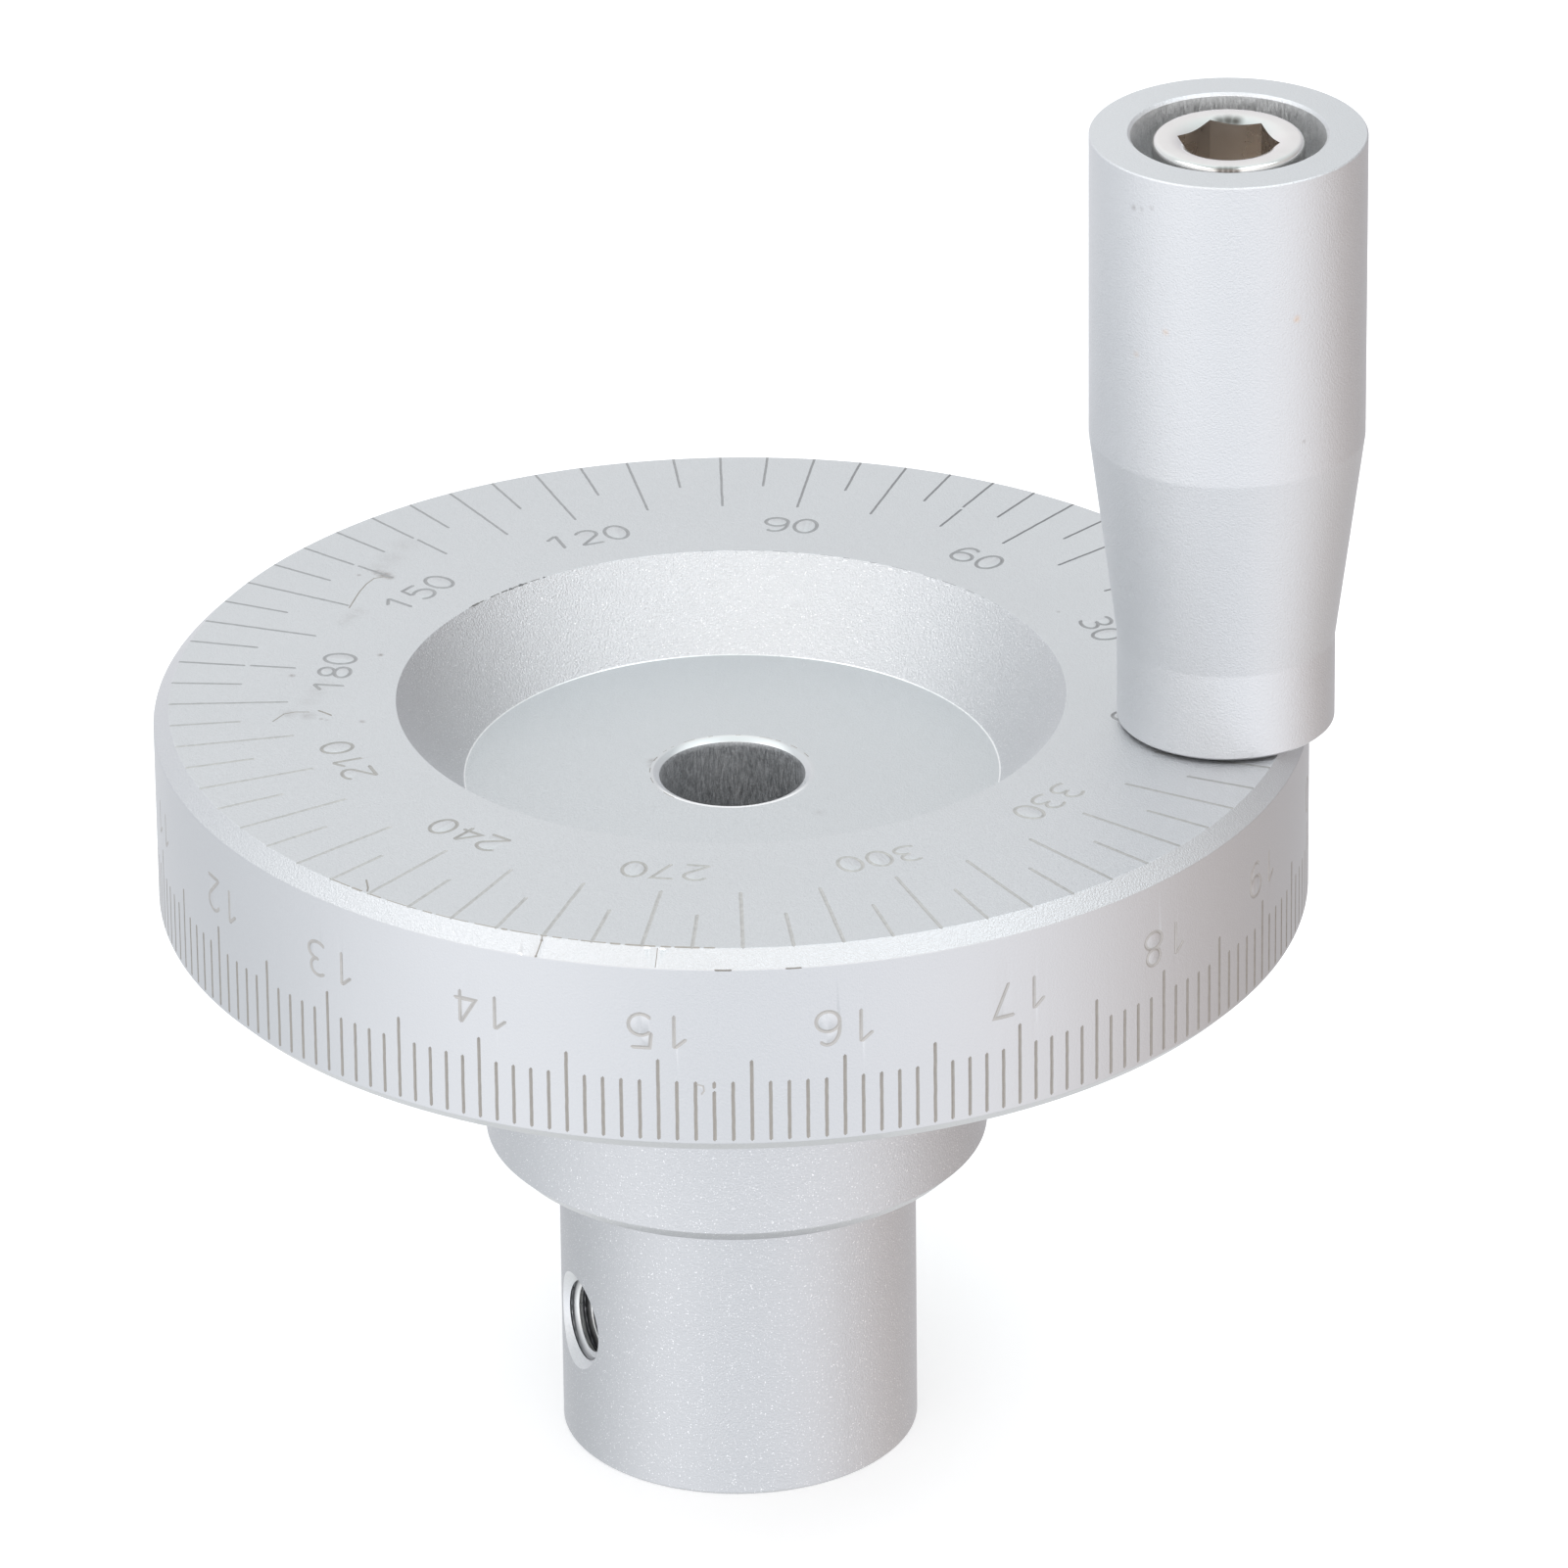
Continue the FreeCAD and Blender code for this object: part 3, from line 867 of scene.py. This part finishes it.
def feed(tree, socket, value):
    """Sets a socket, or links an output to it."""
    if isinstance(value, bpy.types.NodeSocket):
        tree.links.new(value, socket)
    elif socket.type == "RGBA":
        socket.default_value = (*value, 1)
    else:
        socket.default_value = value


def node(tree, kind, inputs, **settings):
    """Adds a node with its properties set and its inputs, by name or place, fed."""
    made = tree.nodes.new("ShaderNode" + kind)
    for name, value in settings.items():
        setattr(made, name, value)
    for key, value in inputs.items():
        feed(tree, made.inputs[key], value)
    return made


def new_material(name):
    """A material, its node tree and the object's own coordinates in it."""
    material = bpy.data.materials.new(name)
    material.use_nodes = True
    tree = material.node_tree
    return material, tree, node(tree, "TexCoord", {}).outputs["Object"]


def dress(tree, inputs):
    """Feeds inputs of the material's shader."""
    for name, value in inputs.items():
        feed(tree, tree.nodes["Principled BSDF"].inputs[name], value)


def dress_metal(tree, colour, roughness, **others):
    dress(tree, {"Metallic": 1.0, "Base Color": colour, "Roughness": roughness, **others})


def numbers(tree, operation, *inputs):
    """The result of an operation on numbers."""
    return node(tree, "Math", dict(enumerate(inputs)), operation=operation).outputs[0]


def vectors(tree, operation, *inputs, result="Vector"):
    """The result of an operation on vectors."""
    made = node(tree, "VectorMath", dict(enumerate(inputs)), operation=operation)
    return made.outputs[result]


def scaled(tree, vector, scale):
    made = node(tree, "VectorMath", {0: vector, "Scale": scale}, operation="SCALE")
    return made.outputs["Vector"]


def ramp(tree, source, low, high, low_value=0.0, high_value=1.0, **settings):
    """Maps a range of numbers to another."""
    return node(tree, "MapRange", {"Value": source, "From Min": low, "From Max": high,
                                   "To Min": low_value, "To Max": high_value},
                **settings).outputs["Result"]


def noise(tree, place, scale, detail=2.0, roughness=0.5):
    return node(tree, "TexNoise", {"Vector": place, "Scale": scale, "Detail": detail,
                                   "Roughness": roughness}).outputs["Fac"]


def spread(tree, pattern, low=0.0, high=1.0):
    """Stretches the middle of a noise pattern's range."""
    return ramp(tree, pattern, 0.3, 0.7, low, high)


def mix(tree, factor, first, second, **settings):
    """Mixes two colours."""
    return node(tree, "Mix", {0: factor, 6: first, 7: second}, data_type="RGBA",
                **settings).outputs[2]


def bump(tree, height, strength, distance):
    return node(tree, "Bump", {"Strength": strength, "Distance": distance,
                               "Height": height}).outputs["Normal"]


def along(tree, place, azimuth):
    """How far a spot lies from the axis towards an azimuth from the camera's side."""
    return vectors(tree, "DOT_PRODUCT", place, studio_direction(azimuth, 0), result="Value")


def smudge_mask(tree, place, marks):
    """How strongly any of the soft round marks (x, y, z, radius, strength) covers a spot."""
    mask = None
    for x, y, z, radius, strength in marks:
        distance = vectors(tree, "DISTANCE", place, (x * MM, y * MM, z * MM), result="Value")
        patch = ramp(tree, distance, 0.0, radius * MM, strength, 0.0,
                     interpolation_type="SMOOTHSTEP")
        mask = numbers(tree, "MAXIMUM", mask, patch) if mask else patch
    return mask


def smudged(tree, place, colour, marks, stain, thinnest=0.35):
    """Mixes a stain into a colour where the marks are, in patches down to the thinnest share; on
    the spindle's head the stain is a painted dark reflection.
    """
    patchy = ramp(tree, noise(tree, place, 2200.0, 4.0, 0.7), 0.35, 0.6, thinnest)
    cover = numbers(tree, "MULTIPLY", smudge_mask(tree, place, marks), patchy)
    return mix(tree, cover, colour, stain)


# Materials. Noise scales are in waves per metre, roughly, and colours are linear.
GRAIN_SCALE = 7000.0
GRAIN_SHARE = 0.8
GRAIN_HEIGHT = 0.00008
CLOUD_SCALE = 90.0
GLINT_SCALE = 9000.0
GLINT_RANGE = (0.66, 0.72)
GLINT_COLOUR = (0.97, 0.97, 0.98)
BLASTED_ROUGHNESS = (0.43, 0.53)
SPOT_SCALE = 2500.0
CUT_ROUGHNESS = (0.5, 0.7)
RUBBED_ROUGHNESS = (0.25, 0.4)
WHEEL_DARK = (0.64, 0.65, 0.665)
WHEEL_LIGHT = (0.69, 0.70, 0.715)
SMUDGE_COLOUR = (0.33, 0.30, 0.29)
RUST_COLOUR = (0.72, 0.45, 0.25)
# Colour of the painted dark reflections on the spindle's head
HEAD_PAINTED_REFLECTION_COLOUR = (0.13, 0.115, 0.105)
# Ranges of X and Y over which the dial's painted shade changes behind the axis, in millimetres
DIAL_BACK_TURNING = (-5.0, 15.0)
DIAL_DEPTH_TURNING = (-13.0, 1.0)
# The painted highlights on the bore's edge: how fast the crescent behind tapers, and where each
# begins and is whole, in shares of the bore's radius
HIGHLIGHT_CRESCENT_TAPER = 3.0
HIGHLIGHT_CRESCENT_RANGE = (0.5, 0.68)
FRONT_HIGHLIGHT_RANGE = (0.4, 0.8)
BORE_EDGE_DULL = (0.64, 0.65, 0.665)
BORE_EDGE_BACK_HIGHLIGHT = (0.84, 0.845, 0.85)
BORE_EDGE_FRONT_HIGHLIGHT = (0.97, 0.975, 0.98)
BORE_EDGE_ROUGHNESS = 0.35
# Tapped hole colours: the metal at the thread's crests, painted shade in its roots
THREAD_CREST = (0.74, 0.745, 0.74)
THREAD_ROOT_SHADE = (0.27, 0.275, 0.285)
THREAD_BLEND = 0.1


def blasted_aluminium(name, dark, light, stains=(), grit=1.0, sparkle=False, tones=()):
    """Fine bead-blasted, clear anodised aluminium with (marks, colour) stains on it.

    Each of the tones is (azimuth, start, end, share) of painted shade, or of painted light where
    the
    share is above one: how far along that direction from the wheel's axis it starts, where it
    ends, and the share it has got to."""
    material, tree, place = new_material(name)
    cloud = noise(tree, place, CLOUD_SCALE, 3.0)
    grain = noise(tree, place, GRAIN_SCALE, 2.0, 0.7)
    shade = numbers(tree, "MULTIPLY_ADD", spread(tree, grain), GRAIN_SHARE,
                    spread(tree, cloud, 0.0, 1.0 - GRAIN_SHARE))
    colour = mix(tree, shade, dark, light)
    if sparkle:
        glints = ramp(tree, noise(tree, place, GLINT_SCALE, 1.0), *GLINT_RANGE)
        colour = mix(tree, glints, colour, GLINT_COLOUR)
    # Painted shade and light, scaling the colour by where the spot lies
    for azimuth, start, end, share in tones:
        reach = along(tree, place, azimuth)
        colour = scaled(tree, colour, ramp(tree, reach, start * MM, end * MM, 1.0, share))
    for marks, stain in stains:
        colour = smudged(tree, place, colour, marks, stain)
    dress_metal(tree, colour, spread(tree, grain, *BLASTED_ROUGHNESS),
                Normal=bump(tree, grain, 1.0, GRAIN_HEIGHT * grit))
    return material


def spotted_metal(name, dark, light, roughness=CUT_ROUGHNESS):
    """A cut or rubbed surface with finely spotted colour and roughness."""
    material, tree, place = new_material(name)
    spots = noise(tree, place, SPOT_SCALE, 3.0, 0.7)
    dress_metal(tree, mix(tree, spread(tree, spots), dark, light),
                spread(tree, spots, *roughness))
    return material


def dial_metal(name, turning, front_left, front_right, back_left, back_right):
    """The dial's engraving, with painted shade: its colour changes round the dial with how its
    grooves face the light.

    The four tones of painted shade lie round the dial, and turning is the range of X over which
    the front's left tone turns into its right one."""
    material, tree, place = new_material(name)
    parts = node(tree, "SeparateXYZ", {0: place}).outputs
    across, across_back, behind = (
        ramp(tree, parts[axis], start * MM, end * MM)
        for axis, (start, end) in (("X", turning), ("X", DIAL_BACK_TURNING),
                                   ("Y", DIAL_DEPTH_TURNING)))
    # Painted shade: the four tones blended by where the spot lies round the dial
    tone = mix(tree, behind, mix(tree, across, front_left, front_right),
               mix(tree, across_back, back_left, back_right))
    spots = noise(tree, place, SPOT_SCALE, 3.0, 0.7)
    speckle = mix(tree, spread(tree, spots), (0.88, 0.88, 0.88), (1.12, 1.12, 1.12))
    dress_metal(tree, mix(tree, 1.0, tone, speckle, blend_type="MULTIPLY"),
                spread(tree, spots, *CUT_ROUGHNESS))
    return material


def tapped_metal(centre, direction):
    """A tapped hole's wall: bright crests, and painted shade that darkens the thread's roots."""
    material, tree, place = new_material("tapped_wall_painted_shade")
    offset = vectors(tree, "SUBTRACT", place, centre * MM)
    swept = vectors(tree, "CROSS_PRODUCT", offset, direction)
    radius = vectors(tree, "LENGTH", swept, result="Value")
    depth = ramp(tree, radius, (THREAD_CORE_RADIUS + THREAD_BLEND) * MM,
                 (THREAD_RADIUS - THREAD_BLEND) * MM)
    spots = noise(tree, place, 1500.0, 3.0, 0.6)
    dress_metal(tree, mix(tree, depth, THREAD_CREST, THREAD_ROOT_SHADE),
                spread(tree, spots, *RUBBED_ROUGHNESS))
    return material


def bore_edge():
    """The bore's broken edge, as dull as the floor, with painted highlights along its front and in
    a narrow crescent at its back."""
    material, tree, place = new_material("bore_edge")
    inner = (BORE_RADIUS + BORE_FLARE) * MM
    radius = vectors(tree, "LENGTH", vectors(tree, "MULTIPLY", place, (1, 1, 0)),
                     result="Value")
    crescent = numbers(tree, "MULTIPLY_ADD", radius, -HIGHLIGHT_CRESCENT_TAPER, along(tree, place, 180))
    # Painted highlight in a narrow crescent behind the bore
    behind = ramp(tree, crescent, *((end - HIGHLIGHT_CRESCENT_TAPER) * inner for end in HIGHLIGHT_CRESCENT_RANGE))
    # Painted highlight along the edge's front
    before = ramp(tree, along(tree, place, 0), *(end * inner for end in FRONT_HIGHLIGHT_RANGE))
    back = mix(tree, behind, BORE_EDGE_DULL, BORE_EDGE_BACK_HIGHLIGHT)
    dress_metal(tree, mix(tree, before, back, BORE_EDGE_FRONT_HIGHLIGHT), BORE_EDGE_ROUGHNESS)
    return material


def machined_metal(name, dark, light):
    """Bare bored metal with specks and fine marks along and round the bore."""
    material, tree, place = new_material(name)
    drawn = node(tree, "Mapping", {"Vector": place, "Scale": (1, 1, 0.25)}).outputs["Vector"]
    marks = noise(tree, drawn, 6500.0)
    specks = noise(tree, place, 7000.0, 3.0, 0.7)
    dress_metal(tree, mix(tree, ramp(tree, specks, 0.35, 0.65), dark, light),
                spread(tree, marks, 0.4, 0.65), Normal=bump(tree, marks, 0.6, 0.00002))
    return material


def plated_metal(name, scale, dark, light, roughness, marks=()):
    """Nickel plate in patches of two tones, with painted dark reflections on it where marks are
    given.
    """
    material, tree, place = new_material(name)
    patches = noise(tree, place, scale, 3.0)
    colour = mix(tree, patches, dark, light)
    if marks:
        # Painted dark reflections, mixed in where the marks lie
        colour = smudged(tree, place, colour, marks, HEAD_PAINTED_REFLECTION_COLOUR, 0.9)
    dress_metal(tree, colour, spread(tree, patches, *roughness))
    return material


def floor_material():
    material, tree, place = new_material("pale_floor")
    colour = mix(tree, noise(tree, place, 6.0), (0.90, 0.90, 0.90), (0.92, 0.92, 0.92))
    dress(tree, {"Base Color": colour, "Roughness": 0.9, "Specular IOR Level": 0.1,
                 "Emission Color": (1, 1, 1), "Emission Strength": FLOOR_GLOW})
    return material


# Camera: the photograph's viewing angle, with lengths in millimetres
CAMERA_AZIMUTH = 7.522
CAMERA_ELEVATION = 26.235
CAMERA_ROLL = -0.645
CAMERA_DISTANCE = 911.5
CAMERA_TARGET = Vector((4.89, -9.67, 54.5))
FOCAL_LENGTH_PIXELS = 13573.0
PHOTO_PIXELS = 1601
SENSOR_WIDTH = 36.0
CLIP_START = 10.0
CLIP_END = 20000.0


def make_camera():
    data = bpy.data.cameras.new("camera")
    data.sensor_width = SENSOR_WIDTH
    data.lens = FOCAL_LENGTH_PIXELS / PHOTO_PIXELS * SENSOR_WIDTH
    data.clip_start = CLIP_START * MM
    data.clip_end = CLIP_END * MM
    camera = bpy.data.objects.new("camera", data)
    bpy.context.scene.collection.objects.link(camera)
    back = studio_direction(0, CAMERA_ELEVATION)
    right = Vector((0, 0, 1)).cross(back).normalized()
    up = back.cross(right)
    turn = Matrix((right, up, back)).transposed().to_4x4()
    turn = turn @ Matrix.Rotation(math.radians(CAMERA_ROLL), 4, "Z")
    place = (CAMERA_TARGET + back * CAMERA_DISTANCE) * MM
    camera.matrix_world = Matrix.Translation(place) @ turn
    bpy.context.scene.camera = camera


# Studio: a pale floor, two overhead softboxes and a soft surround. Azimuths are counted
# anticlockwise from the camera's side, seen from above. A softbox is (name, azimuth,
# elevation, power, colour), and a lobe of the surround is (azimuth, elevation, colour).
FLOOR_GLOW = 0.3
FLOOR_REACH = 6000.0
SOFTBOX_DISTANCE = 900.0
SOFTBOX_WIDTH = 620.0
SOFTBOX_HEIGHT = 420.0
SOFTBOXES = [
    ("left_softbox", -80.0, 58.0, 1.6, (1.01, 1.0, 1.04)),
    ("right_softbox", 72.0, 64.0, 1.64, (0.95, 1.0, 1.07)),
]
SURROUND = (0.77, 0.795, 0.78)
LOBE_TIGHTNESS = 4.0
LOBES = [
    (0.0, 60.0, (-0.5, -0.5, -0.5)),
    (0.0, 32.0, (0.865, 0.762, 0.703)),
    (0.0, 0.0, (0.342, 0.397, 0.468)),
    (0.0, -32.0, (-0.5, -0.5, -0.5)),
    (50.0, -20.0, (0.636, 0.625, 0.683)),
    (-50.0, -20.0, (0.694, 0.674, 0.719)),
    (100.0, -10.0, (-0.266, -0.38, -0.426)),
    (-100.0, -10.0, (-0.112, -0.097, -0.062)),
    (150.0, 5.0, (-0.363, -0.35, -0.279)),
    (-150.0, 5.0, (0.095, 0.079, 0.134)),
    (180.0, 25.0, (0.288, 0.211, 0.165)),
    (180.0, 60.0, (0.146, 0.245, 0.269)),
    (180.0, -60.0, (0.35, 0.35, 0.35)),
]


def studio_direction(azimuth, elevation):
    turn = math.radians(azimuth + CAMERA_AZIMUTH - 90)
    rise = math.radians(elevation)
    return Vector((math.cos(turn) * math.cos(rise), math.sin(turn) * math.cos(rise),
                   math.sin(rise)))


def softbox(name, azimuth, elevation, power, colour):
    """A rectangular soft light aimed at the middle of the object."""
    data = bpy.data.lights.new(name, "AREA")
    data.shape = "RECTANGLE"
    data.size = SOFTBOX_WIDTH * MM
    data.size_y = SOFTBOX_HEIGHT * MM
    data.energy = power
    data.color = colour
    light = bpy.data.objects.new(name, data)
    towards = studio_direction(azimuth, elevation)
    light.location = (towards * SOFTBOX_DISTANCE + CAMERA_TARGET) * MM
    light.rotation_euler = towards.to_track_quat("Z", "Y").to_euler()
    bpy.context.scene.collection.objects.link(light)


def make_surround():
    """The world's light: one even tone and soft lobes that add to it or take from it."""
    world = bpy.data.worlds.new("studio")
    world.use_nodes = True
    bpy.context.scene.world = world
    tree = world.node_tree
    place = node(tree, "TexCoord", {}).outputs["Generated"]
    total = SURROUND
    for azimuth, elevation, colour in LOBES:
        towards = studio_direction(azimuth, elevation)
        facing = vectors(tree, "DOT_PRODUCT", place, towards, result="Value")
        fall = numbers(tree, "MULTIPLY_ADD", facing, LOBE_TIGHTNESS, -LOBE_TIGHTNESS)
        lobe = scaled(tree, colour, numbers(tree, "EXPONENT", fall))
        total = vectors(tree, "ADD", total, lobe)
    tree.links.new(total, tree.nodes["Background"].inputs["Color"])


def make_studio():
    reach = FLOOR_REACH
    verts = [(-reach, -reach, 0), (reach, -reach, 0), (reach, reach, 0), (-reach, reach, 0)]
    floor = new_object("floor", verts, [(0, 1, 2, 3)], [floor_material()])
    floor.visible_glossy = False
    floor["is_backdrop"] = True
    for box in SOFTBOXES:
        softbox(*box)
    make_surround()
    view = bpy.context.scene.view_settings
    view.view_transform = "Standard"
    view.look = "None"


def main():
    dark_spots = [(x, y, DIAL_FACE, radius, strength) for x, y, radius, strength in FACE_SMUDGES]
    dark_spots += [(x, y, DISH_FLOOR, radius, strength) for x, y, radius, strength in FLOOR_DARK_SPOTS]
    # In the order of the places in the wheel's list of materials
    wheel_materials = [
        blasted_aluminium("blasted_wheel", WHEEL_DARK, WHEEL_LIGHT, [(dark_spots, SMUDGE_COLOUR)],
                          grit=0.6),
        # The dial's lines, and its numbers below, take painted shade that changes round the dial
        dial_metal("dial_line", (17.0, 33.0), (0.568, 0.563, 0.553), (0.485, 0.48, 0.47),
                   (0.42, 0.422, 0.43), (0.28, 0.282, 0.29)),
        machined_metal("machined_bore", (0.54, 0.545, 0.555), (0.76, 0.775, 0.79)),
        spotted_metal("rim_line", (0.36, 0.34, 0.315), (0.46, 0.44, 0.41)),
        spotted_metal("light_mark", (0.49, 0.48, 0.465), (0.59, 0.58, 0.565)),
        # Painted shade for the nicks along the dish's mouth
        spotted_metal("nick_painted_shade", (0.16, 0.155, 0.15), (0.32, 0.315, 0.31)),
        spotted_metal("bright_edge", (0.86, 0.865, 0.87), (0.96, 0.965, 0.97),
                      RUBBED_ROUGHNESS),
        blasted_aluminium("blasted_rim", (0.63, 0.64, 0.655), (0.67, 0.68, 0.695), grit=0.2),
        # The dish walls, with painted shade on their left and right sides
        blasted_aluminium("blasted_walls_painted_shade", (0.62, 0.63, 0.645), (0.71, 0.72, 0.735), sparkle=True,
                          tones=[(-90, 14.0, 22.0, 0.86), (90, 14.0, 22.0, 0.93)]),
        tapped_metal(Vector(SET_SCREW["pos_m"]) / MM, Vector(SET_SCREW["axis"])),
        # The countersink: a lighter copy of the blasted finish, painted light
        blasted_aluminium("blasted_sink_painted_light", (0.70, 0.71, 0.725), (0.78, 0.79, 0.80), grit=0.5),
        bore_edge(),
        # The collar: a darker copy of the blasted finish as painted shade under the disc, with
        # more painted shade on its left
        blasted_aluminium("blasted_collar_painted_shade", (0.605, 0.615, 0.63), (0.655, 0.665, 0.68), grit=0.6,
                          sparkle=True, tones=[(-90, 13.0, 17.4, 0.96)]),
        # The hub: a darker copy of the blasted finish as painted shade under the disc, with
        # painted shade on its left and painted light on its right
        blasted_aluminium("blasted_hub_painted_shade", (0.585, 0.595, 0.61), (0.63, 0.64, 0.655), grit=0.5,
                          sparkle=True, tones=[(-90, 5.0, 11.5, 0.89), (90, 7.5, 11.5, 1.15)]),
        dial_metal("dial_number", (-9.0, 3.0), (0.47, 0.46, 0.445), (0.55, 0.545, 0.53),
                   (0.43, 0.432, 0.44), (0.395, 0.397, 0.405)),
    ]
    wheel = make_wheel(wheel_materials)
    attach(wheel, "wheel")
    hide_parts("handwheel")
    grip_materials = [
        # The grip: a lighter copy of the blasted finish as painted light, with painted shade on
        # its right and painted light on its left; its marks and rust are real
        blasted_aluminium("blasted_grip_painted_light", (0.665, 0.675, 0.69), (0.715, 0.725, 0.74),
                          [(GRIP_MARKS, SMUDGE_COLOUR), (GRIP_RUST, RUST_COLOUR)], grit=0.5,
                          tones=[(90, 36.0, 43.0, 0.97), (90, 32.0, 26.0, 1.03)]),
        # The counterbore: a lighter copy of the machined metal, painted light in the recess
        machined_metal("turned_recess_painted_light", (0.80, 0.805, 0.81), (0.97, 0.975, 0.98)),
    ]
    grip = make_grip(grip_materials)
    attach(grip, "grip")
    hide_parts("handle_grip")
    spindle_materials = [
        # The head's plate takes painted dark reflections at its front edge and in the socket's
        # mouth
        plated_metal("nickel_plate", 700.0, (0.74, 0.735, 0.725), (0.82, 0.815, 0.805),
                     (0.1, 0.2), HEAD_PAINTED_REFLECTIONS),
        plated_metal("socket_wall", 500.0, (0.64, 0.585, 0.54), (0.78, 0.73, 0.68),
                     (0.2, 0.35)),
    ]
    spindle = make_spindle(spindle_materials)
    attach(spindle, "wheel")
    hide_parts("handle_spindle")
    make_camera()
    make_studio()


main()

boxes = {"cad": cad_box, "visual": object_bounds()}
{name: [list(corner) for corner in box] for name, box in boxes.items()}
